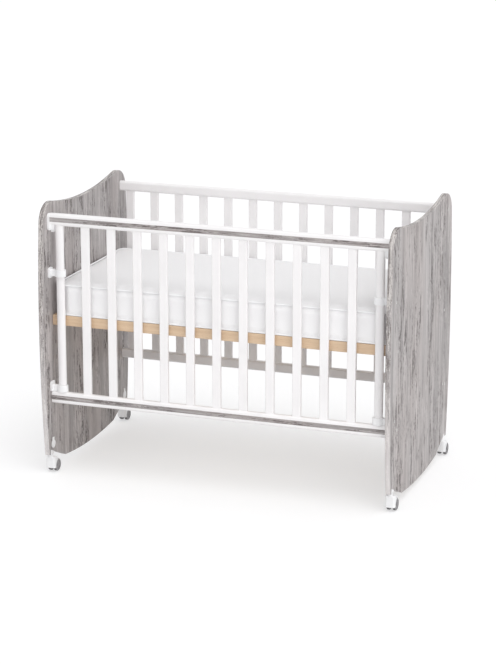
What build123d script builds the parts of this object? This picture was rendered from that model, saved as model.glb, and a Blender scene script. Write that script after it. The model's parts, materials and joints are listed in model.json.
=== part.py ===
from build123d import *
import os
from math import sqrt

# Rocking crib. X runs along the crib, the front faces -Y, Z is up and the floor is z = 0. Millimetres.

# End panels: one outline in the Y-Z plane, the same to the front and to the back
inner_length = 1204.0
panel_thickness = 18.0
panel_half_depth = 372.0
panel_widest_height = 540.0
panel_side_radius = 4200.0
panel_peak_height = 952.0
panel_dip_depth = 29.0
shoulder_radius = 71.0
rocker_floor_gap = 20.5
rocker_radius = 1690.0
rocker_half_length = 212.0
lip_bottom_height = 69.0
lip_thickness = 9.0
lip_rounding = 4.0
rocker_end_rounding = 14.0
caster_edge_height = 88.0
panel_edge_rounding = 1.5

# Mattress and its slatted base
base_half_width = 295.0
base_top_height = 559.0
base_level_drop = 267.0
base_rail_thickness = 20.0
base_rail_height = 35.0
base_rail_rounding = 2.0
slat_count = 11
slat_width = 60.0
slat_thickness = 10.0
slat_seat = 10.0
mattress_thickness = 110.0
mattress_crown = 6.0
mattress_crown_inset = 160.0
mattress_shoulder = 4.2
mattress_shoulder_inset = 60.0
mattress_draw_in = 4.0
mattress_corner_radius = 30.0
mattress_end_gap = 5.0

# Rails and bars of the drop side and of the fixed back side
rail_depth = 21.0
rail_rounding = 8.0
drop_side_bottom = 252.0
drop_side_below_peak = 34.0
drop_rail_height = 42.0
back_side_bottom = 250.0
back_side_below_peak = 41.0
back_rail_height = 36.0
upright_count = 13
post_inset = 38.0
bar_width = 30.0
bar_depth = 12.0
bar_rounding = 3.0
mortise_depth = 12.0
stripe_height = 15.5
stripe_depth = 1.2
post_width = 30.0
post_depth = 18.0

# Guide brackets on the panels, with a ring round each post
ring_wall = 5.0
ring_back_wall = 3.0
ring_height = 24.0
bracket_plate_height = 36.0
bracket_plate_width = 30.0
bracket_plate_thickness = 5.0
bracket_plate_rounding = 7.0
bracket_arm_width = 14.0
bracket_gap = 0.5

# Latches at the ends of the drop side's top rail
drop_travel = 118.0
drop_stop_gap = 5.0
latch_cap_thickness = 6.0
latch_cap_front = 9.0
latch_cap_rounding = 13.0
latch_body_length = 15.0
latch_body_depth = 19.0
latch_body_height = 17.0
latch_wall = 2.0
latch_pocket_depth = 14.0
latch_button_height = 10.0
latch_button_proud = 6.0
latch_button_rounding = 1.5
latch_spring_radius = 3.0
latch_spring_bore = 2.0

# Twin-wheel casters
caster_inset = 56.0
caster_trail = 25.0
wheel_radius = 21.0
wheel_width = 11.0
wheel_rounding = 2.5
wheel_dish_radius = 15.0
wheel_dish_depth = 1.2
hub_radius = 5.5
axle_radius = 2.5
hood_web = 9.0
axle_boss_radius = 6.0
hood_width = 34.0
hood_wall = 1.7
hood_gap = 0.8
hood_top_height = 57.0
hood_front = 8.0
hood_skirt_height = 17.0
hood_past_axle = 5.0
hood_rounding = 7.0
neck_radius = 7.5
neck_top_height = 67.0
collar_radius = 7.0
collar_thickness = 1.6
stem_radius = 4.0
stem_bottom_height = 40.0
stem_top_height = 118.0
socket_radius = 6.0
socket_roof = 3.0
socket_foot_length = 28.0
socket_foot_width = 16.0
socket_foot_rounding = 3.0
lock_plate_thickness = 2.5
lock_plate_radius = 14.0
lock_plate_height = 104.0
lock_neck_width = 12.0
lock_neck_top = 128.0

# Bolts through the panels
bolt_radius = 3.0
bolt_head_radius = 5.0
bolt_head_height = 3.0
bolt_bite = 24.0
hex_key_size = 4.0
hex_key_depth = 2.0

# Clearances
seat_gap = 0.3
fit_gap = 0.1
running_gap = 0.05
guide_gap = 0.5
passing_gap = 2.0
back_gap = 6.5
wheel_side_gap = 0.6

# Places worked out from the sizes above
half_length = inner_length / 2
shoulder_height = panel_peak_height - shoulder_radius
panel_dip_height = panel_peak_height - panel_dip_depth
drop_side_top = panel_peak_height - drop_side_below_peak
back_side_top = panel_peak_height - back_side_below_peak
panel_middle = half_length + panel_thickness / 2
drop_y = -(base_half_width + passing_gap + ring_back_wall + guide_gap + post_depth / 2)
back_y = base_half_width + back_gap + rail_depth / 2
post_x = half_length - post_inset
upright_pitch = 2 * post_x / (upright_count - 1)
bar_places = [-post_x + upright_pitch * i for i in range(upright_count)]
top_rail_bottom = drop_side_top - drop_rail_height
latch_bottom = top_rail_bottom - latch_body_height
latch_inner_x = half_length - guide_gap - latch_cap_thickness
latch_body_x = latch_inner_x - latch_body_length / 2
lower_bracket_height = drop_side_bottom + drop_rail_height + bracket_gap + bracket_plate_height / 2
lowest_latch = latch_bottom - latch_button_proud - drop_travel
upper_bracket_height = lowest_latch - drop_stop_gap - bracket_plate_height / 2
bracket_y = drop_y + rail_depth / 2 - bracket_plate_width / 2
base_bottom_height = base_top_height - base_rail_height
base_half_length = half_length - seat_gap
long_rail_y = base_half_width - base_rail_thickness / 2
level_bolt_height = base_bottom_height + base_rail_height / 2
caster_y = panel_half_depth - caster_inset


def side_reach(height):
    """How far the panel's long side curve lies from the middle at a height."""
    rise = height - panel_widest_height
    return panel_half_depth - panel_side_radius + sqrt(panel_side_radius**2 - rise**2)


def rocker_end_height():
    return rocker_floor_gap + rocker_radius - sqrt(rocker_radius**2 - rocker_half_length**2)


def towards(start, target, distance):
    """The point at a distance from start, in the direction of target."""
    return start + (target - start).normalized() * distance


def panel_face():
    """The panel's outline: rocker, caster edges, lips, bowed sides, round shoulders and dipped top."""
    side_centre = Vector(panel_half_depth - panel_side_radius, panel_widest_height)
    reach = panel_side_radius - shoulder_radius
    rise = shoulder_height - panel_widest_height
    shoulder_centre = Vector(side_centre.X + sqrt(reach**2 - rise**2), shoulder_height)
    drop = panel_dip_height - shoulder_height
    dip_radius = (shoulder_centre.X**2 + drop**2 - shoulder_radius**2) / (2 * (shoulder_radius - drop))
    dip_centre = Vector(0, panel_dip_height + dip_radius)
    side_end = towards(side_centre, shoulder_centre, panel_side_radius)
    shoulder_end = towards(shoulder_centre, dip_centre, shoulder_radius)
    shoulder_middle = towards(shoulder_centre, (side_end + shoulder_end) / 2, shoulder_radius)
    rocker_end = Vector(rocker_half_length, rocker_end_height())
    lip_outside = Vector(side_reach(lip_bottom_height), lip_bottom_height)
    lip_inside = Vector(lip_outside.X - lip_thickness, lip_bottom_height)
    edge_end = Vector(lip_inside.X, caster_edge_height)
    half = [
        Line(rocker_end, edge_end),
        Line(edge_end, lip_inside),
        Line(lip_inside, lip_outside),
        ThreePointArc(lip_outside, Vector(side_reach(panel_widest_height), panel_widest_height), side_end),
        ThreePointArc(side_end, shoulder_middle, shoulder_end),
    ]
    rocker = ThreePointArc(Vector(-rocker_end.X, rocker_end.Y), Vector(0, rocker_floor_gap), rocker_end)
    dip = ThreePointArc(shoulder_end, Vector(0, panel_dip_height), Vector(-shoulder_end.X, shoulder_end.Y))
    other_half = [mirror(edge, about=Plane.YZ) for edge in half]
    return make_face([rocker, dip] + half + other_half)


def cross_bar(face, start, end):
    """A Y-Z outline pushed along X from start to end."""
    return extrude(Plane.YZ.offset(start) * face, amount=end - start)


def both_ends(solid):
    """A piece at the right end and its mirror image at the left end."""
    return [mirror(solid, about=Plane.YZ), solid]


def rod(radius, start, end):
    """A round bar between two points."""
    axis = Vector(*end) - Vector(*start)
    place = Plane(origin=start, z_dir=axis)
    return extrude(place * Circle(radius), amount=axis.length)


def rounded_block(x, y, z, size_x, size_y, size_z, rounding, axis):
    """A block about a centre, with the edges that run along one axis rounded."""
    block = Pos(x, y, z) * Box(size_x, size_y, size_z)
    return fillet(block.edges().filter_by(axis), rounding)


def bolt_places():
    """Every bolt through a panel: its Y, its height and how far it reaches past the panel's inner face."""
    places = [
        (back_y, back_side_top - back_rail_height / 2, bolt_bite),
        (back_y, back_side_bottom + back_rail_height / 2, bolt_bite),
        (bracket_y, upper_bracket_height, bracket_plate_thickness - seat_gap),
        (bracket_y, lower_bracket_height, bracket_plate_thickness - seat_gap),
    ]
    for y in (-long_rail_y, long_rail_y):
        for height in (level_bolt_height, level_bolt_height - base_level_drop):
            places.append((y, height, -seat_gap))
    return places


def bolt(y, height, bite, gap=0.0):
    """A bolt from the right panel's outer face, or the hole that it needs when given a gap."""
    outer_face = half_length + panel_thickness
    head = rod(bolt_head_radius + gap, (outer_face - bolt_head_height, y, height), (outer_face, y, height))
    reach = bite if gap == 0 else abs(bite) + seat_gap
    shank = rod(bolt_radius + gap, (half_length - reach, y, height), (outer_face, y, height))
    if gap:
        return head + shank
    hexagon = Pos(y, height) * RegularPolygon(hex_key_size / 2, 6, major_radius=False)
    return head + shank - cross_bar(hexagon, outer_face - hex_key_depth, outer_face)


def bolt_holes():
    return [bolt(y, height, bite, fit_gap) for y, height, bite in bolt_places()]


def socket_bore(y):
    """The panel's hole for a caster socket."""
    top = stem_top_height + socket_roof + seat_gap
    return rod(socket_radius + fit_gap, (panel_middle, y, 0), (panel_middle, y, top))


def end_panel():
    """The right end panel, with its bolt holes and the bores of its caster sockets."""
    panel = cross_bar(panel_face(), half_length, half_length + panel_thickness)
    corners = panel.edges().filter_by(Axis.X)
    lip_corners = [edge for edge in corners if abs(edge.center().Y) > side_reach(lip_bottom_height) - 1
                   and edge.center().Z < lip_bottom_height + 1]
    panel = fillet(lip_corners, lip_rounding)
    corners = panel.edges().filter_by(Axis.X)
    rocker_corners = [edge for edge in corners if abs(abs(edge.center().Y) - rocker_half_length) < 1]
    panel = fillet(rocker_corners, rocker_end_rounding)
    faces = panel.faces().sort_by(Axis.X)
    outline = faces[0].outer_wire().edges() + faces[-1].outer_wire().edges()
    panel = fillet(outline, panel_edge_rounding)
    for y in (-caster_y, caster_y):
        panel -= socket_bore(y)
    for hole in bolt_holes():
        panel -= hole
    return panel


def rail(y, bottom, height, reach):
    """A rail along the crib, with rounded edges."""
    return rounded_block(0, y, bottom + height / 2, 2 * reach, rail_depth, height, rail_rounding, Axis.X)


def upright_bar(x, y, bottom, top, gap=0.0):
    """A flat bar standing in its rails' mortises, or the mortises' outline when given a gap."""
    middle = (bottom + top) / 2
    width = bar_width + 2 * gap
    depth = bar_depth + 2 * gap
    return rounded_block(x, y, middle, width, depth, top - bottom, bar_rounding, Axis.Z)


def guide_post(x, bottom, top, gap=0.0):
    """An oval post of the drop side."""
    oval = Ellipse(post_width / 2 + gap, post_depth / 2 + gap)
    return extrude(Pos(x, drop_y, bottom) * oval, amount=top - bottom)


def stripe(rail_bottom, reach, gap=0.0):
    """The strip let into the front of a drop side rail, or its groove when given a gap."""
    front = drop_y - rail_depth / 2
    height = rail_bottom + drop_rail_height / 2
    depth = stripe_depth + 2 * gap
    return Pos(0, front + stripe_depth / 2, height) * Box(2 * reach, depth, stripe_height + 2 * gap)


def back_side():
    """The fixed back: two rails and the bars between them."""
    bars_bottom = back_side_bottom + back_rail_height - mortise_depth
    bars_top = back_side_top - back_rail_height + mortise_depth
    top_rail = rail(back_y, back_side_top - back_rail_height, back_rail_height, half_length)
    bottom_rail = rail(back_y, back_side_bottom, back_rail_height, half_length)
    parts = {}
    for number, x in enumerate(bar_places, 1):
        parts[f"back_bar_{number:02d}"] = upright_bar(x, back_y, bars_bottom, bars_top)
        mortise = upright_bar(x, back_y, bars_bottom - fit_gap, bars_top + fit_gap, fit_gap)
        top_rail -= mortise
        bottom_rail -= mortise
    for hole in bolt_holes()[:2]:
        for end in both_ends(hole):
            top_rail -= end
            bottom_rail -= end
    parts["back_top_rail"] = top_rail
    parts["back_bottom_rail"] = bottom_rail
    return parts


def drop_side():
    """The sliding front: two striped rails, flat bars and a guide post at each end."""
    bottom_reach = half_length - guide_gap
    bars_bottom = drop_side_bottom + drop_rail_height - mortise_depth
    bars_top = top_rail_bottom + mortise_depth
    top_rail = rail(drop_y, top_rail_bottom, drop_rail_height, latch_inner_x)
    bottom_rail = rail(drop_y, drop_side_bottom, drop_rail_height, bottom_reach)
    top_rail -= stripe(top_rail_bottom, latch_inner_x, fit_gap)
    bottom_rail -= stripe(drop_side_bottom, bottom_reach, fit_gap)
    parts = {}
    for number, x in enumerate(bar_places[1:-1], 1):
        parts[f"front_bar_{number:02d}"] = upright_bar(x, drop_y, bars_bottom, bars_top)
        mortise = upright_bar(x, drop_y, bars_bottom - fit_gap, bars_top + fit_gap, fit_gap)
        top_rail -= mortise
        bottom_rail -= mortise
    for name, x in (("left", -post_x), ("right", post_x)):
        parts[f"guide_post_{name}"] = guide_post(x, bars_bottom, bars_top)
        mortise = guide_post(x, bars_bottom - fit_gap, bars_top + fit_gap, fit_gap)
        top_rail -= mortise
        bottom_rail -= mortise
    parts["front_top_rail"] = top_rail
    parts["front_bottom_rail"] = bottom_rail
    top_stripe = stripe(top_rail_bottom, latch_inner_x)
    bottom_stripe = stripe(drop_side_bottom, bottom_reach)
    parts["front_rail_stripes"] = Compound([top_stripe, bottom_stripe])
    return parts


def guide_bracket(height, ring_drop):
    """A plate on the right panel, an arm and a ring round the post, lower than the plate's middle."""
    ring_middle = height - ring_drop
    plate_x = half_length - bracket_plate_thickness / 2
    plate = rounded_block(plate_x, bracket_y, height, bracket_plate_thickness, bracket_plate_width,
                          bracket_plate_height, bracket_plate_rounding, Axis.X)
    hole_length = post_depth + 2 * guide_gap
    ring_length = hole_length + ring_wall + ring_back_wall
    ring_width = post_width + 2 * (guide_gap + ring_wall)
    ring_y = drop_y + (ring_back_wall - ring_wall) / 2
    oval = Pos(post_x, ring_y, ring_middle - ring_height / 2) * Ellipse(ring_width / 2, ring_length / 2)
    ring = extrude(oval, amount=ring_height)
    arm_start = post_x + post_width / 2
    arm_length = half_length - arm_start
    arm = rounded_block(arm_start + arm_length / 2, ring_y, ring_middle, arm_length, bracket_arm_width,
                        ring_height, ring_back_wall, Axis.X)
    bracket = plate + ring + arm
    bracket -= guide_post(post_x, height - ring_height, height + ring_height, guide_gap)
    bracket -= bolt(bracket_y, height, bracket_plate_thickness, fit_gap)
    return bracket


def latch_pocket():
    """The hollow under the right latch that its button and spring sit in."""
    size_x = latch_body_length - 2 * latch_wall
    size_y = latch_body_depth - 3 * latch_wall
    middle = latch_bottom + latch_pocket_depth / 2
    return Pos(latch_body_x, drop_y, middle) * Box(size_x, size_y, latch_pocket_depth)


def latch_housing():
    """The right end cap of the top rail, with the latch's body under the rail."""
    cap_depth = rail_depth + latch_cap_front
    cap_height = drop_side_top - latch_bottom
    cap_y = drop_y - latch_cap_front / 2
    cap = rounded_block(latch_inner_x + latch_cap_thickness / 2, cap_y, latch_bottom + cap_height / 2,
                        latch_cap_thickness, cap_depth, cap_height, latch_cap_rounding, Axis.X)
    body_top = top_rail_bottom + rail_rounding / 2
    body = Pos(latch_body_x, drop_y, (latch_bottom + body_top) / 2) * Box(
        latch_body_length, latch_body_depth, body_top - latch_bottom)
    body = fillet(body.edges().filter_by(Axis.X).group_by(Axis.Z)[0], rail_rounding / 2)
    body -= rail(drop_y, top_rail_bottom, drop_rail_height, latch_inner_x)
    return cap + body - latch_pocket()


def latch_button():
    """The right release button: pressed up, it compresses its spring."""
    size_x = latch_body_length - 2 * latch_wall - 2 * guide_gap
    size_y = latch_body_depth - 3 * latch_wall - 2 * guide_gap
    middle = latch_bottom - latch_button_proud + latch_button_height / 2
    button = Pos(latch_body_x, drop_y, middle) * Box(size_x, size_y, latch_button_height)
    return fillet(button.edges().group_by(Axis.Z)[0], latch_button_rounding)


def latch_spring():
    """The right latch's spring, drawn as a sleeve of its outer size."""
    start = latch_bottom - latch_button_proud + latch_button_height
    end = latch_bottom + latch_pocket_depth
    sleeve = rod(latch_spring_radius, (latch_body_x, drop_y, start), (latch_body_x, drop_y, end))
    return sleeve - rod(latch_spring_bore, (latch_body_x, drop_y, start), (latch_body_x, drop_y, end))


def caster_socket(y, panel):
    """A bush in the right panel for a caster's stem, with a foot cut to the panel's slanted edge."""
    foot_bottom = neck_top_height + 2 * seat_gap + collar_thickness
    foot_top = caster_edge_height
    foot = rounded_block(panel_middle, y, (foot_bottom + foot_top) / 2, socket_foot_width,
                         socket_foot_length, foot_top - foot_bottom, socket_foot_rounding, Axis.Z)
    foot -= panel
    top = stem_top_height + socket_roof
    bush = rod(socket_radius, (panel_middle, y, foot_bottom), (panel_middle, y, top))
    foot -= rod(socket_radius + fit_gap, (panel_middle, y, foot_top), (panel_middle, y, top))
    bore = rod(stem_radius + running_gap, (panel_middle, y, foot_bottom),
               (panel_middle, y, stem_top_height + running_gap))
    return foot + bush - bore


def lock_plate(y):
    """The keyhole-shaped plate on the right panel's inner face, above a caster."""
    disc = Pos(y, lock_plate_height) * Circle(lock_plate_radius)
    neck_height = lock_neck_top - lock_plate_height
    neck = Pos(y, lock_plate_height + neck_height / 2) * Rectangle(lock_neck_width, neck_height)
    return cross_bar(disc + neck, half_length - lock_plate_thickness, half_length)


def caster_stem(x, y):
    """The steel pin that a caster swivels on, with its collar."""
    pin = rod(stem_radius, (x, y, stem_bottom_height), (x, y, stem_top_height))
    collar_bottom = neck_top_height + seat_gap
    collar = rod(collar_radius, (x, y, collar_bottom), (x, y, collar_bottom + collar_thickness))
    return pin + collar


def caster_hood(x, y):
    """The white hood over a twin wheel: front boss, shell over the treads and a web for the axle."""
    axle_y = y + caster_trail
    cavity_radius = wheel_radius + hood_gap
    shell_radius = cavity_radius + hood_wall
    left = x - hood_width / 2
    right = x + hood_width / 2
    shell = rod(shell_radius, (left, axle_y, wheel_radius), (right, axle_y, wheel_radius))
    boss_length = hood_front + caster_trail / 2
    boss_height = hood_top_height - hood_skirt_height
    boss = Pos(x, y - hood_front + boss_length / 2, hood_skirt_height + boss_height / 2) * Box(
        hood_width, boss_length, boss_height)
    boss = fillet(boss.edges().filter_by(Axis.Z).group_by(Axis.Y)[0], hood_rounding)
    boss = fillet(boss.edges().group_by(Axis.Z)[-1], hood_rounding / 2)
    far = 2 * shell_radius
    end = caster_trail + hood_past_axle
    below_and_behind = Polygon(
        (-far, -wheel_radius), (2 * far, -wheel_radius), (2 * far, 2 * far),
        (end, 2 * far), (end, hood_skirt_height), (-far, hood_skirt_height), align=None)
    hood = boss + shell - cross_bar(Pos(y, 0) * below_and_behind, left - 1, right + 1)
    cavity_width = (hood_width - hood_web) / 2
    for side in (-1, 1):
        inner = x + side * hood_web / 2
        outer = inner + side * (cavity_width + 1)
        hood -= rod(cavity_radius, (inner, axle_y, wheel_radius), (outer, axle_y, wheel_radius))
    web_start = (x - hood_web / 2, axle_y, wheel_radius)
    web = rod(axle_boss_radius, web_start, (x + hood_web / 2, axle_y, wheel_radius))
    neck = rod(neck_radius, (x, y, hood_top_height - hood_rounding), (x, y, neck_top_height))
    hood = hood + web + neck
    hood -= rod(axle_radius + running_gap, (left, axle_y, wheel_radius), (right, axle_y, wheel_radius))
    hood -= rod(stem_radius + running_gap, (x, y, stem_bottom_height - seat_gap), (x, y, neck_top_height))
    return hood


def caster_wheels(x, y):
    """Two wheels on one axle."""
    axle_y = y + caster_trail
    inner = hood_web / 2 + wheel_side_gap
    outer = inner + wheel_width
    pair = rod(axle_radius, (x - outer, axle_y, wheel_radius), (x + outer, axle_y, wheel_radius))
    for side in (-1, 1):
        face = x + side * outer
        wheel = rod(wheel_radius, (x + side * inner, axle_y, wheel_radius), (face, axle_y, wheel_radius))
        wheel = fillet(wheel.edges().filter_by(GeomType.CIRCLE), wheel_rounding)
        dish = rod(wheel_dish_radius, (face - side * wheel_dish_depth, axle_y, wheel_radius),
                   (face + side, axle_y, wheel_radius))
        dish -= rod(hub_radius, (face - side * wheel_dish_depth, axle_y, wheel_radius),
                    (face + side, axle_y, wheel_radius))
        pair += wheel - dish
    return pair


def mattress_base():
    """Front and back long rails with a rebate, end rails between them and slats across."""
    parts = {}
    rail_middle = base_bottom_height + base_rail_height / 2
    slat_middle = base_top_height - slat_thickness / 2
    slat_length = 2 * (base_half_width - base_rail_thickness + slat_seat)
    rebate_length = 2 * (base_half_length - base_rail_thickness)
    rebate = Pos(0, 0, slat_middle) * Box(rebate_length, slat_length, slat_thickness)
    for name, side in (("front", -1), ("back", 1)):
        long_rail = rounded_block(0, side * long_rail_y, rail_middle, 2 * base_half_length,
                                  base_rail_thickness, base_rail_height, base_rail_rounding, Axis.X)
        parts[f"base_long_rail_{name}"] = long_rail - rebate
    end_rail_x = base_half_length - base_rail_thickness / 2
    end_rail = Pos(end_rail_x, 0, rail_middle) * Box(
        base_rail_thickness, 2 * (base_half_width - base_rail_thickness), base_rail_height)
    parts["base_end_rails"] = Compound(both_ends(end_rail))
    slat_span = base_half_length - base_rail_thickness - slat_width
    slats = []
    for number in range(slat_count):
        x = -slat_span + 2 * slat_span * number / (slat_count - 1)
        slats.append(Pos(x, 0, slat_middle) * Box(slat_width, slat_length, slat_thickness))
    parts["base_slats"] = Compound(slats)
    return parts


def mattress_section(height, inset):
    """A rounded rectangle across the mattress, drawn in from its widest outline."""
    length = 2 * (half_length - mattress_end_gap - inset)
    width = 2 * (base_half_width - seat_gap - inset)
    return Pos(0, 0, height) * RectangleRounded(length, width, mattress_corner_radius)


def mattress():
    """A foam mattress: sides drawn in between its two piped edges, and a crowned top."""
    bottom = base_top_height + seat_gap
    edge = bottom + mattress_thickness
    sides = loft([
        mattress_section(bottom, 0),
        mattress_section((bottom + edge) / 2, mattress_draw_in),
        mattress_section(edge, 0),
    ])
    crown = loft([
        mattress_section(edge, 0),
        mattress_section(edge + mattress_shoulder, mattress_shoulder_inset),
        mattress_section(edge + mattress_crown, mattress_crown_inset),
    ])
    return sides + crown


def single_solid(shape):
    """The one solid of a cut or joined shape."""
    solids = shape.solids()
    assert len(solids) == 1, f"{len(solids)} solids"
    return solids[0]


def build():
    """Every piece by name."""
    parts = {}
    panel = end_panel()
    for name, piece in zip(("left", "right"), both_ends(panel)):
        parts[f"end_panel_{name}"] = piece
    parts.update(back_side())
    parts.update(drop_side())
    lower_ring_drop = (bracket_plate_height - ring_height) / 2
    brackets = (
        ("lower", guide_bracket(lower_bracket_height, lower_ring_drop)),
        ("upper", guide_bracket(upper_bracket_height, 0)),
    )
    for level, bracket in brackets:
        for name, piece in zip(("left", "right"), both_ends(bracket)):
            parts[f"guide_bracket_{name}_{level}"] = piece
    parts["latch_housings"] = Compound(both_ends(single_solid(latch_housing())))
    parts["latch_springs"] = Compound(both_ends(single_solid(latch_spring())))
    for name, piece in zip(("left", "right"), both_ends(latch_button())):
        parts[f"latch_button_{name}"] = piece
    mounts = []
    bolts = []
    for y in (-caster_y, caster_y):
        mounts += both_ends(single_solid(caster_socket(y, panel)))
        mounts += both_ends(single_solid(lock_plate(y)))
    for place in bolt_places():
        bolts += both_ends(single_solid(bolt(*place)))
    parts["caster_sockets"] = Compound(mounts)
    parts["panel_bolts"] = Compound(bolts)
    for row, y in (("front", -caster_y), ("back", caster_y)):
        for name, x in (("left", -panel_middle), ("right", panel_middle)):
            parts[f"caster_stem_{row}_{name}"] = caster_stem(x, y)
            parts[f"caster_hood_{row}_{name}"] = caster_hood(x, y)
            parts[f"caster_wheels_{row}_{name}"] = caster_wheels(x, y)
    parts.update(mattress_base())
    parts["mattress"] = mattress()
    return parts


os.makedirs("parts", exist_ok=True)
for node, piece in build().items():
    whole = piece if len(piece.solids()) > 1 else single_solid(piece)
    export_step(whole, f"parts/{node}.step")
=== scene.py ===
import bpy
import bmesh
import json
from math import cos, pi, radians, sin
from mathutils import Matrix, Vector


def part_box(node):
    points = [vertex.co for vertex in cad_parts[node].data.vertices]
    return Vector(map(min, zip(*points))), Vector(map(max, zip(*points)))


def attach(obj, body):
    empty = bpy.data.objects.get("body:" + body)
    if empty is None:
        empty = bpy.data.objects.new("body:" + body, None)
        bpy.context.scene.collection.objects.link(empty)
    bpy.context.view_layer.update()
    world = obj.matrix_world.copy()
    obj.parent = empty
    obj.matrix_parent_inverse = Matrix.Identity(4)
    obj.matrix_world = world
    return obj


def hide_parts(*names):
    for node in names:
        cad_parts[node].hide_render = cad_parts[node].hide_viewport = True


# A rocking crib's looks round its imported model. X runs along it, the front faces -Y, in metres.

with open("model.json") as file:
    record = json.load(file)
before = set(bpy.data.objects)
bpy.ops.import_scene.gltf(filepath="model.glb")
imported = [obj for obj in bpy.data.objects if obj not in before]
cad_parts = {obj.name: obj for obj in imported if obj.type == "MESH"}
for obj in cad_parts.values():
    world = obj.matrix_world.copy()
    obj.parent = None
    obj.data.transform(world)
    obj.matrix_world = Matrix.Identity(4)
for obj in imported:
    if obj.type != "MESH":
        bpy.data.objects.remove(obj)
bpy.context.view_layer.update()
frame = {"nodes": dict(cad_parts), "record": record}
nodes = frame["nodes"]

# Camera: place in metres, angles in degrees, lens in millimetres
CAMERA_PLACE = (2.6177, -7.2733, 2.5609)
CAMERA_YAW = 19.80
CAMERA_PITCH = 15.08
CAMERA_LENS = 125.75
SENSOR_WIDTH = 36.0
VIEW_DISTANCE = 200.0

# Mattress, in metres
SEAM_INSET = 0.003
BLANK_TOP_DROP = 0.010
BLANK_LIFT = 0.0005
SIDE_DRAW_IN = 0.007
SIDE_ROWS = 12
CORNER_RADIUS = 0.030
CROWN = 0.005
CROWN_REACH = 0.16
CROWN_ABOVE_MIDDLE = 0.03
SLAT_CLEARANCE = 0.0002
PIPING_RADIUS = 0.0032
PIPING_SIDE_GAP = 0.0003
PIPING_TOP_DROP = 0.0105
PIPING_BOTTOM_LIFT = 0.0005

# The filling of its cover, in metres; pressure as Blender's cloth takes it
VOXEL = 0.006
SWELL_LIMIT = 0.006
CLOTH_PRESSURE = 4.0
CLOTH_SLACK = 0.008
CLOTH_QUALITY = 5
CLOTH_FRAMES = 20
SEAM_SHARE = 0.93
TOP_SEAM_BAND = 0.018
BOTTOM_SEAM_BAND = 0.006

# Floor and surroundings: lengths in metres, strengths where 1 is white
FLOOR_REACH = 40.0
FLOOR_DROP = 0.0003
FLOOR_COLOR = (0.86, 0.86, 0.865, 1.0)
FLOOR_GLOW_SHARE = 0.38
FLOOR_GLOW = 1.32
SOFT_LIGHT_COLOR = (0.99, 0.99, 1.0, 1.0)
SOFT_LIGHT = 0.68
WHITE = (1.0, 1.0, 1.0, 1.0)


def tone(red, green, blue):
    """A colour given as 0 to 255 on screen, as the linear colour that Blender wants."""
    def linear(value):
        value /= 255
        return value / 12.92 if value <= 0.04045 else ((value + 0.055) / 1.055) ** 2.4
    return (linear(red), linear(green), linear(blue), 1.0)


class Recipe:
    """A material and short calls that add nodes to it."""

    def __init__(self, name):
        self.material = bpy.data.materials.new(name)
        self.material.use_nodes = True
        self.tree = self.material.node_tree
        self.shader = self.tree.nodes["Principled BSDF"]
        self.place = self.tree.nodes.new("ShaderNodeTexCoord")

    def add(self, kind, **settings):
        node = self.tree.nodes.new(kind)
        for name, value in settings.items():
            setattr(node, name, value)
        return node

    def feed(self, socket, value):
        """Links value into a socket if it is an output, or writes it there."""
        if isinstance(value, bpy.types.NodeSocket):
            self.tree.links.new(value, socket)
        else:
            socket.default_value = value

    def math(self, operation, first, second=0.0, third=0.0):
        """One step of arithmetic on sockets or numbers."""
        node = self.add("ShaderNodeMath", operation=operation)
        for socket, value in zip(node.inputs, (first, second, third)):
            self.feed(socket, value)
        return node.outputs[0]

    def split(self, vector):
        node = self.add("ShaderNodeSeparateXYZ")
        self.feed(node.inputs[0], vector)
        return node.outputs

    def join(self, x, y, z):
        node = self.add("ShaderNodeCombineXYZ")
        for socket, value in zip(node.inputs, (x, y, z)):
            self.feed(socket, value)
        return node.outputs[0]

    def stretch(self, vector, scale, shift=(0.0, 0.0, 0.0)):
        """The coordinates scaled along each axis, then shifted."""
        node = self.add("ShaderNodeMapping")
        self.feed(node.inputs["Vector"], vector)
        node.inputs["Location"].default_value = shift
        node.inputs["Scale"].default_value = scale
        return node.outputs[0]

    def noise(self, vector, scale=1.0, detail=3.0, roughness=0.5):
        node = self.add("ShaderNodeTexNoise")
        self.feed(node.inputs["Vector"], vector)
        node.inputs["Scale"].default_value = scale
        node.inputs["Detail"].default_value = detail
        node.inputs["Roughness"].default_value = roughness
        return node.outputs[0]

    def band(self, value, low, high, out_low=0.0, out_high=1.0):
        """Value from low to high becomes out_low to out_high, and stays there outside."""
        node = self.add("ShaderNodeMapRange")
        for socket, number in zip(node.inputs, (value, low, high, out_low, out_high)):
            self.feed(socket, number)
        return node.outputs[0]

    def mix(self, amount, first, second):
        node = self.add("ShaderNodeMix", data_type="RGBA")
        self.feed(node.inputs[0], amount)
        self.feed(node.inputs[6], first)
        self.feed(node.inputs[7], second)
        return node.outputs[2]

    def bump(self, height, strength, distance, under=None):
        """A normal from a height, laid over another normal where one is given."""
        node = self.add("ShaderNodeBump")
        node.inputs["Strength"].default_value = strength
        node.inputs["Distance"].default_value = distance
        self.feed(node.inputs["Height"], height)
        if under:
            self.feed(node.inputs["Normal"], under)
        return node.outputs[0]

    def finish(self, color, roughness, normal=None, **constants):
        """Feeds the shader; constants are written on its own sockets, by name with _ for a space."""
        self.feed(self.shader.inputs["Base Color"], color)
        self.feed(self.shader.inputs["Roughness"], roughness)
        if normal:
            self.feed(self.shader.inputs["Normal"], normal)
        for name, value in constants.items():
            self.shader.inputs[name.replace("_", " ")].default_value = value
        return self.material


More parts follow.
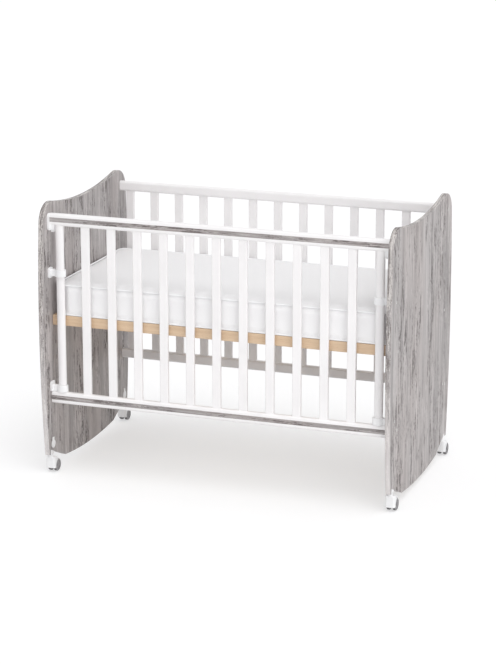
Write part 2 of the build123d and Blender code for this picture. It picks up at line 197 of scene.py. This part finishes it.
def warped(recipe, across, depth, along):
    """Grain coordinates that wander: slow bends, and a fine shake."""
    grain = recipe.join(across, depth, along)
    bends = recipe.noise(recipe.stretch(grain, (6.0, 6.0, 1.6)), detail=2.0)
    shake = recipe.noise(recipe.stretch(grain, (60.0, 60.0, 26.0)), detail=3.0, roughness=0.7)
    moved = recipe.math("MULTIPLY_ADD", bends, 0.030, across)
    moved = recipe.math("MULTIPLY_ADD", shake, 0.006, moved)
    return recipe.join(moved, depth, along)


def streaks(recipe, grain, width, length, shift, ragged):
    """Long streaks of about that width and length in metres, with ragged edges."""
    long_form = recipe.stretch(grain, (1 / width, 1 / width, 1 / length), shift)
    short_form = recipe.stretch(grain, (2.5 / width, 2.5 / width, 9 / length), shift)
    body = recipe.noise(long_form, detail=5.0, roughness=0.62)
    teeth = recipe.noise(short_form, detail=4.0, roughness=0.7)
    return recipe.math("MULTIPLY_ADD", recipe.math("SUBTRACT", teeth, 0.5), ragged, body)


def weathered(recipe, grain):
    """Grey weathered wood: soft boards of grey, fine lines, pale streaks and broken dark ones."""
    boards = streaks(recipe, grain, 0.034, 0.9, (0.0, 0.0, 0.0), 0.15)
    lines = streaks(recipe, grain, 0.0075, 0.24, (5.0, 2.0, 3.0), 0.35)
    flakes = streaks(recipe, grain, 0.013, 0.13, (3.0, 1.0, 2.0), 0.60)
    pale = streaks(recipe, grain, 0.015, 0.22, (1.0, 9.0, 4.0), 0.45)
    regions = recipe.noise(
        recipe.stretch(grain, (10.0, 10.0, 3.0), (7.0, 5.0, 1.0)), detail=3.0, roughness=0.6)
    warmth = recipe.noise(recipe.stretch(grain, (6.0, 6.0, 1.5), (2.0, 2.0, 8.0)), detail=2.0)
    color = recipe.mix(recipe.band(boards, 0.38, 0.62), tone(146, 141, 140), tone(187, 182, 181))
    color = recipe.mix(recipe.band(warmth, 0.42, 0.62, 0.0, 0.45), color, tone(184, 174, 171))
    color = recipe.mix(recipe.band(lines, 0.48, 0.64, 0.0, 0.38), color, tone(134, 128, 127))
    color = recipe.mix(recipe.band(pale, 0.54, 0.66, 0.0, 0.6), color, tone(206, 200, 199))
    clusters = recipe.band(regions, 0.42, 0.56, 0.05, 1.0)
    gaps = recipe.math("MULTIPLY", recipe.band(flakes, 0.52, 0.59), clusters)
    color = recipe.mix(recipe.math("MULTIPLY", gaps, 0.9), color, tone(96, 89, 88))
    relief = recipe.math("SUBTRACT", recipe.math("MULTIPLY", lines, 0.35), gaps)
    return color, gaps, relief


def panel_decor():
    """Grain runs up the boards' faces and along their edges, flecked above and with a painted highlight
    below.
    """
    recipe = Recipe("panel decor")
    x, y, z = recipe.split(recipe.place.outputs["Object"])
    facing = recipe.math("ABSOLUTE", recipe.split(recipe.place.outputs["Normal"])[0])
    edge = recipe.math("LESS_THAN", facing, 0.6)
    angle = recipe.math("ARCTAN2", y, recipe.math("SUBTRACT", z, 0.48))
    around = recipe.math("MULTIPLY", angle, 0.45)
    rim = recipe.math("MULTIPLY", x, 2.2)
    across = recipe.add("ShaderNodeMix", data_type="FLOAT")
    along = recipe.add("ShaderNodeMix", data_type="FLOAT")
    for node, on_face, on_edge in ((across, y, rim), (along, z, around)):
        recipe.feed(node.inputs[0], edge)
        recipe.feed(node.inputs[2], on_face)
        recipe.feed(node.inputs[3], on_edge)
    side = recipe.math("MULTIPLY", recipe.math("SIGN", x), 0.7)
    grain = warped(recipe, across.outputs[0], side, along.outputs[0])
    color, gaps, relief = weathered(recipe, grain)
    edge_grain = recipe.join(rim, side, around)
    chips = recipe.band(streaks(recipe, edge_grain, 0.010, 0.045, (4.0, 4.0, 6.0), 0.7), 0.50, 0.56)
    high = recipe.band(z, 0.20, 0.55, 0.15, 0.85)
    chipped = recipe.math("MULTIPLY", recipe.math("MULTIPLY", edge, chips), high)
    color = recipe.mix(chipped, color, tone(98, 90, 86))
    # Short bright streaks along the edges, mixed over the decor.
    bright = streaks(recipe, edge_grain, 0.012, 0.06, (8.0, 1.0, 3.0), 0.7)
    edge_bright_streaks = recipe.math("MULTIPLY", edge, recipe.band(bright, 0.52, 0.58, 0.0, 0.7))
    color = recipe.mix(edge_bright_streaks, color, tone(222, 217, 213))
    # Painted highlight: the edges are painted paler towards the bottom, standing in for light on their
    # rounded rim.
    pale = recipe.math("MULTIPLY", edge, recipe.band(z, 0.15, 0.55, 0.62, 0.0))
    color = recipe.mix(pale, color, tone(226, 222, 221))
    roughness = recipe.band(gaps, 0.0, 1.0, 0.46, 0.62)
    normal = recipe.bump(relief, 0.35, 0.0004)
    return recipe.finish(color, roughness, normal, Specular_IOR_Level=0.4)


def stripe_decor():
    """The same decor, finer and a little darker, with its grain along the rail."""
    recipe = Recipe("stripe decor")
    x, y, z = recipe.split(recipe.place.outputs["Object"])
    across = recipe.math("MULTIPLY", z, 2.6)
    along = recipe.math("MULTIPLY", x, 1.6)
    color, gaps, relief = weathered(recipe, warped(recipe, across, y, along))
    color = recipe.mix(0.10, color, tone(120, 112, 108))
    roughness = recipe.band(gaps, 0.0, 1.0, 0.46, 0.62)
    normal = recipe.bump(relief, 0.3, 0.0003)
    return recipe.finish(color, roughness, normal, Specular_IOR_Level=0.4)


def white_paint():
    """Satin paint on wood: the grain shows faintly through it, and the sheen is a little uneven."""
    recipe = Recipe("white paint")
    place = recipe.place.outputs["Object"]
    upright = recipe.noise(recipe.stretch(place, (300.0, 300.0, 9.0)), detail=4.0, roughness=0.6)
    lengthwise = recipe.noise(recipe.stretch(place, (9.0, 300.0, 300.0)), detail=4.0, roughness=0.6)
    peel = recipe.noise(place, scale=520.0, detail=2.0)
    cloud = recipe.noise(place, scale=9.0, detail=3.0)
    color = recipe.mix(recipe.band(cloud, 0.3, 0.7), tone(240, 238, 238), tone(245, 243, 243))
    roughness = recipe.band(cloud, 0.3, 0.7, 0.34, 0.44)
    crossed = recipe.math("MULTIPLY", upright, lengthwise)
    height = recipe.math("ADD", crossed, recipe.math("MULTIPLY", peel, 0.3))
    normal = recipe.bump(height, 0.12, 0.0003)
    return recipe.finish(color, roughness, normal, Coat_Weight=0.08, Coat_Roughness=0.2)


def moulded(name, light, dark, gloss):
    """Moulded plastic with a fine spark-eroded texture."""
    recipe = Recipe(name)
    place = recipe.place.outputs["Object"]
    cloud = recipe.noise(place, scale=30.0, detail=3.0)
    grain = recipe.noise(place, scale=1900.0, detail=2.0)
    color = recipe.mix(recipe.band(cloud, 0.3, 0.7), dark, light)
    roughness = recipe.band(cloud, 0.3, 0.7, gloss, gloss + 0.08)
    return recipe.finish(color, roughness, recipe.bump(grain, 0.15, 0.0001))


def wheel_rubber():
    """Grey wheels: treads a little darker, and dusty all over."""
    recipe = Recipe("grey wheel")
    place = recipe.place.outputs["Object"]
    facing = recipe.math("ABSOLUTE", recipe.split(recipe.place.outputs["Normal"])[0])
    dust = recipe.noise(place, scale=180.0, detail=5.0, roughness=0.7)
    side = recipe.mix(recipe.band(dust, 0.35, 0.7), tone(146, 145, 147), tone(160, 158, 159))
    tread = recipe.mix(recipe.band(dust, 0.35, 0.7), tone(104, 103, 105), tone(128, 126, 125))
    color = recipe.mix(recipe.band(facing, 0.5, 0.8), tread, side)
    roughness = recipe.band(dust, 0.3, 0.7, 0.5, 0.68)
    return recipe.finish(color, roughness, recipe.bump(dust, 0.2, 0.0002))


def turned_metal(name, light, dark, rough):
    """Plated steel with fine marks round its axis."""
    recipe = Recipe(name)
    place = recipe.place.outputs["Object"]
    marks = recipe.noise(recipe.stretch(place, (2500.0, 900.0, 900.0)), detail=3.0)
    color = recipe.mix(recipe.band(marks, 0.3, 0.7), dark, light)
    roughness = recipe.band(marks, 0.3, 0.7, rough, rough + 0.12)
    return recipe.finish(color, roughness, recipe.bump(marks, 0.15, 0.0001), Metallic=1.0)


def pale_wood(name, light, dark, lengthwise):
    """Oiled pale wood: long soft grain, darker pores, and a slow change of tone."""
    recipe = Recipe(name)
    x, y, z = recipe.split(recipe.place.outputs["Object"])
    along, across = (x, y) if lengthwise else (y, x)
    grain = warped(recipe, recipe.math("ADD", across, z), z, along)
    soft = recipe.noise(recipe.stretch(grain, (90.0, 90.0, 3.0)), detail=4.0, roughness=0.6)
    pores = recipe.noise(recipe.stretch(grain, (700.0, 700.0, 30.0)), detail=3.0, roughness=0.6)
    slow = recipe.noise(recipe.stretch(grain, (5.0, 5.0, 2.0)), detail=2.0)
    color = recipe.mix(recipe.band(soft, 0.35, 0.66), light, dark)
    color = recipe.mix(recipe.band(slow, 0.35, 0.65, 0.0, 0.3), color, tone(226, 196, 160))
    color = recipe.mix(recipe.band(pores, 0.58, 0.70, 0.0, 0.45), color, tone(160, 124, 88))
    roughness = recipe.band(soft, 0.3, 0.7, 0.48, 0.58)
    return recipe.finish(color, roughness, recipe.bump(pores, 0.2, 0.0002))


def woven(name, light, dark, thread):
    """A white cover in a fine diagonal weave, threads that many metres apart, with slight puckers."""
    recipe = Recipe(name)
    place = recipe.place.outputs["Object"]
    x, y, z = recipe.split(place)
    rate = 2 * pi / thread
    first = recipe.math("ADD", x, y)
    second = recipe.math("MULTIPLY_ADD", z, 1.5, recipe.math("SUBTRACT", x, y))
    warp = recipe.math("SINE", recipe.math("MULTIPLY", first, rate))
    weft = recipe.math("SINE", recipe.math("MULTIPLY", second, rate))
    weave = recipe.math("MULTIPLY", warp, weft)
    fuzz = recipe.noise(place, scale=1400.0, detail=3.0)
    pucker = recipe.noise(place, scale=22.0, detail=4.0, roughness=0.55)
    # Painted shade: where the weave sinks in its bump, the colour is painted darker, and its raised
    # crossings lighter.
    color = recipe.mix(recipe.band(weave, -1.0, 1.0, 0.0, 0.6), dark, light)
    color = recipe.mix(recipe.band(pucker, 0.35, 0.7, 0.0, 0.2), color, dark)
    height = recipe.math("ADD", recipe.math("MULTIPLY", weave, 0.5), fuzz)
    normal = recipe.bump(pucker, 0.25, 0.004)
    normal = recipe.bump(height, 0.35, 0.0004, normal)
    return recipe.finish(
        color, 0.88, normal, Sheen_Weight=0.25, Sheen_Roughness=0.5, Specular_IOR_Level=0.25)


def dress_nodes():
    """Every CAD node gets its material by the slot that the record names."""
    finishes = {
        "panel_decor": panel_decor(),
        "stripe_decor": stripe_decor(),
        "white_paint": white_paint(),
        "white_plastic": moulded("white plastic", tone(246, 246, 246), tone(240, 240, 241), 0.30),
        "caster_plastic": moulded("caster plastic", tone(243, 243, 243), tone(236, 236, 237), 0.26),
        "grey_wheel": wheel_rubber(),
        "steel": turned_metal("plated steel", tone(205, 205, 207), tone(178, 178, 181), 0.28),
        "bolt_metal": turned_metal("bolt metal", tone(226, 225, 223), tone(200, 199, 197), 0.38),
        "base_wood": pale_wood("base wood", tone(219, 194, 166), tone(206, 178, 149), True),
        "slat_wood": pale_wood("slat wood", tone(226, 198, 160), tone(208, 176, 134), False),
        "mattress_cover": woven("mattress cover", tone(252, 252, 251), tone(243, 242, 243), 0.0016),
    }
    for part in frame["record"]["subparts"]:
        data = nodes[part["node"]].data
        data.materials.clear()
        data.materials.append(finishes[part["material_slot"]])
    return finishes


def rounded_outline(half_x, half_y, radius, corner_points=8):
    """Points round a rectangle with round corners."""
    points = []
    for quarter in range(4):
        side_x = 1 if quarter in (0, 3) else -1
        side_y = 1 if quarter in (0, 1) else -1
        for step in range(corner_points + 1):
            angle = pi / 2 * (quarter + step / corner_points)
            x = side_x * (half_x - radius) + radius * cos(angle)
            y = side_y * (half_y - radius) + radius * sin(angle)
            points.append((x, y))
    return points


def mattress_blank(low, high):
    """The mattress before its cover is filled: drawn-in sides, and a little under its size."""
    mesh = bmesh.new()
    half_x = high.x - SEAM_INSET
    half_y = high.y - SEAM_INSET
    bottom = low.z + BLANK_LIFT
    top = high.z - BLANK_TOP_DROP
    loops = []
    for row in range(SIDE_ROWS + 1):
        share = row / SIDE_ROWS
        inset = SIDE_DRAW_IN * sin(pi * share) ** 0.6 if 0 < share < 1 else 0.0
        height = bottom + (top - low.z) * share
        outline = rounded_outline(half_x - inset, half_y - inset, CORNER_RADIUS)
        loops.append([mesh.verts.new((x, y, height)) for x, y in outline])
    for lower, upper in zip(loops, loops[1:]):
        for index in range(len(lower)):
            following = (index + 1) % len(lower)
            mesh.faces.new((lower[index], lower[following], upper[following], upper[index]))
    mesh.faces.new(loops[-1])
    mesh.faces.new(list(reversed(loops[0])))
    data = bpy.data.meshes.new("mattress cover")
    mesh.to_mesh(data)
    mesh.free()
    cover = bpy.data.objects.new("mattress_cover", data)
    bpy.context.scene.collection.objects.link(cover)
    return cover


def apply_modifiers(piece):
    """Writes a piece's modifiers into its mesh."""
    bpy.context.view_layer.update()
    graph = bpy.context.evaluated_depsgraph_get()
    solved = bpy.data.meshes.new_from_object(piece.evaluated_get(graph))
    piece.modifiers.clear()
    piece.data = solved


def edge_share(point, high):
    """How near a point lies to the mattress's outline: 0 in the middle, 1 at the edge."""
    gap = min(high.x - abs(point.x), high.y - abs(point.y))
    return max(0.0, 1.0 - gap / CROWN_REACH)


def pin_seams(cover, low, high):
    """Groups the points along the two seams, which the filling doesn't move."""
    seams = cover.vertex_groups.new(name="seams")
    for vertex in cover.data.vertices:
        height = vertex.co.z
        near_seam = height > high.z - TOP_SEAM_BAND or height < low.z + BOTTOM_SEAM_BAND
        if near_seam and edge_share(vertex.co, high) > SEAM_SHARE:
            seams.add([vertex.index], 1.0, "REPLACE")
    return seams


def inflate(cover, seams):
    """Swells the cover by cloth pressure from inside, with its seams held, and keeps the result."""
    cloth = cover.modifiers.new("filling", "CLOTH")
    cloth.settings.quality = CLOTH_QUALITY
    cloth.settings.use_pressure = True
    cloth.settings.uniform_pressure_force = CLOTH_PRESSURE
    cloth.settings.vertex_group_mass = seams.name
    cloth.settings.shrink_min = -CLOTH_SLACK
    cloth.settings.effector_weights.gravity = 0.0
    cloth.collision_settings.use_collision = False
    cloth.point_cache.frame_start = 1
    cloth.point_cache.frame_end = CLOTH_FRAMES
    for number in range(1, CLOTH_FRAMES + 1):
        bpy.context.scene.frame_set(number)
    apply_modifiers(cover)
    bpy.context.scene.frame_set(1)


def fill_cover(cover, low, high):
    """Swells the cover as its foam does, crowns its top, and keeps it on the slats and in its size."""
    remesh = cover.modifiers.new("skin", "REMESH")
    remesh.mode = "VOXEL"
    remesh.voxel_size = VOXEL
    apply_modifiers(cover)
    start = [vertex.co.copy() for vertex in cover.data.vertices]
    inflate(cover, pin_seams(cover, low, high))
    crown_from = (low.z + high.z) / 2 + CROWN_ABOVE_MIDDLE
    for vertex, before in zip(cover.data.vertices, start):
        move = vertex.co - before
        if move.length > SWELL_LIMIT:
            vertex.co = before + move.normalized() * SWELL_LIMIT
        if before.z > crown_from:
            vertex.co.z += CROWN * (1.0 - edge_share(vertex.co, high) ** 2)
        vertex.co.z = max(vertex.co.z, low.z + SLAT_CLEARANCE)
    detail = cover.modifiers.new("detail", "SUBSURF")
    detail.levels = 1
    detail.render_levels = 1
    apply_modifiers(cover)
    cover.vertex_groups.clear()
    for face in cover.data.polygons:
        face.use_smooth = True


def piping(name, high, height, material):
    """The round welt sewn into one edge of the cover."""
    data = bpy.data.curves.new(name, "CURVE")
    data.dimensions = "3D"
    data.bevel_depth = PIPING_RADIUS
    data.bevel_resolution = 4
    data.use_fill_caps = False
    line = data.splines.new("POLY")
    inset = PIPING_RADIUS + PIPING_SIDE_GAP
    outline = rounded_outline(high.x - inset, high.y - inset, CORNER_RADIUS, 10)
    line.points.add(len(outline) - 1)
    for point, (x, y) in zip(line.points, outline):
        point.co = (x, y, height, 1.0)
    line.use_cyclic_u = True
    line.use_smooth = True
    welt = bpy.data.objects.new(name, data)
    data.materials.append(material)
    bpy.context.scene.collection.objects.link(welt)
    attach(welt, "mattress")
    return welt


def make_mattress(finishes):
    """The filled cover, which stands for the mattress's solid, and the welts along its two edges."""
    low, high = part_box("mattress")
    cover = mattress_blank(low, high)
    fill_cover(cover, low, high)
    cover.data.materials.append(finishes["mattress_cover"])
    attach(cover, "mattress")
    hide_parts("mattress")
    welt_finish = woven("welt", tone(252, 252, 252), tone(242, 242, 243), 0.0012)
    piping("piping_top", high, high.z - PIPING_TOP_DROP, welt_finish)
    piping("piping_bottom", high, low.z + PIPING_RADIUS + PIPING_BOTTOM_LIFT, welt_finish)


def seen_directly(tree):
    """1 for what the camera sees, itself or in a reflection, and 0 for the light on the object."""
    rays = tree.nodes.new("ShaderNodeLightPath")
    seen = tree.nodes.new("ShaderNodeMath")
    seen.operation = "MAXIMUM"
    tree.links.new(rays.outputs["Is Camera Ray"], seen.inputs[0])
    tree.links.new(rays.outputs["Is Glossy Ray"], seen.inputs[1])
    return seen.outputs[0]


def floor_paint():
    """A pale diffuse floor with a glow that only the camera and reflections see."""
    material = bpy.data.materials.new("floor")
    material.use_nodes = True
    tree = material.node_tree
    tree.nodes.clear()
    output = tree.nodes.new("ShaderNodeOutputMaterial")
    diffuse = tree.nodes.new("ShaderNodeBsdfDiffuse")
    diffuse.inputs["Color"].default_value = FLOOR_COLOR
    glow = tree.nodes.new("ShaderNodeEmission")
    glow.inputs["Color"].default_value = WHITE
    glow.inputs["Strength"].default_value = FLOOR_GLOW
    share = tree.nodes.new("ShaderNodeMath")
    share.operation = "MULTIPLY"
    share.inputs[1].default_value = FLOOR_GLOW_SHARE
    mix = tree.nodes.new("ShaderNodeMixShader")
    tree.links.new(seen_directly(tree), share.inputs[0])
    tree.links.new(share.outputs[0], mix.inputs[0])
    tree.links.new(diffuse.outputs[0], mix.inputs[1])
    tree.links.new(glow.outputs[0], mix.inputs[2])
    tree.links.new(mix.outputs[0], output.inputs[0])
    return material


def make_floor():
    """A large floor that keeps the soft shadow, and looks white where it is fully lit."""
    data = bpy.data.meshes.new("floor")
    corners = [(x * FLOOR_REACH, y * FLOOR_REACH, 0) for x, y in ((-1, -1), (1, -1), (1, 1), (-1, 1))]
    data.from_pydata(corners, [], [(0, 1, 2, 3)])
    data.materials.append(floor_paint())
    floor = bpy.data.objects.new("floor", data)
    floor.location.z = -FLOOR_DROP
    bpy.context.scene.collection.objects.link(floor)


def make_world():
    """White where the camera or a reflection sees it, and a soft even light on the object."""
    world = bpy.data.worlds.new("studio")
    bpy.context.scene.world = world
    world.use_nodes = True
    tree = world.node_tree
    tree.nodes.clear()
    output = tree.nodes.new("ShaderNodeOutputWorld")
    soft = tree.nodes.new("ShaderNodeBackground")
    soft.inputs["Color"].default_value = SOFT_LIGHT_COLOR
    soft.inputs["Strength"].default_value = SOFT_LIGHT
    white = tree.nodes.new("ShaderNodeBackground")
    white.inputs["Color"].default_value = WHITE
    white.inputs["Strength"].default_value = 1.0
    mix = tree.nodes.new("ShaderNodeMixShader")
    tree.links.new(seen_directly(tree), mix.inputs[0])
    tree.links.new(soft.outputs[0], mix.inputs[1])
    tree.links.new(white.outputs[0], mix.inputs[2])
    tree.links.new(mix.outputs[0], output.inputs[0])


def area_lamp(name, place, target, size, watts):
    """A square lamp of that side in metres, aimed at a point."""
    data = bpy.data.lights.new(name, "AREA")
    data.shape = "SQUARE"
    data.size = size
    data.energy = watts
    lamp = bpy.data.objects.new(name, data)
    lamp.location = place
    aim = Vector(target) - Vector(place)
    lamp.rotation_euler = aim.to_track_quat("-Z", "Y").to_euler()
    bpy.context.scene.collection.objects.link(lamp)


def sky_lamp(name, direction, softness, strength):
    """Even light from far away, from a disc that many degrees across."""
    data = bpy.data.lights.new(name, "SUN")
    data.angle = radians(softness)
    data.energy = strength
    lamp = bpy.data.objects.new(name, data)
    lamp.rotation_euler = Vector(direction).to_track_quat("Z", "Y").to_euler()
    bpy.context.scene.collection.objects.link(lamp)


def make_camera():
    """A camera that sees the crib as the photograph does."""
    data = bpy.data.cameras.new("camera")
    data.lens = CAMERA_LENS
    data.sensor_width = SENSOR_WIDTH
    data.clip_end = VIEW_DISTANCE
    camera = bpy.data.objects.new("camera", data)
    camera.location = CAMERA_PLACE
    camera.rotation_euler = (radians(90 - CAMERA_PITCH), 0.0, radians(CAMERA_YAW))
    bpy.context.scene.collection.objects.link(camera)
    bpy.context.scene.camera = camera


make_camera()
finishes = dress_nodes()
make_mattress(finishes)
make_floor()
make_world()
sky_lamp("key", (1.2, -1.6, 4.5), 40.0, 1.0)
sky_lamp("front fill", (2.6, -7.3, 2.2), 50.0, 0.30)
area_lamp("low fill", (4.8, -3.8, 0.7), (-0.4, 0.0, 0.3), 3.0, 75.0)
bpy.context.scene.view_settings.view_transform = "Standard"
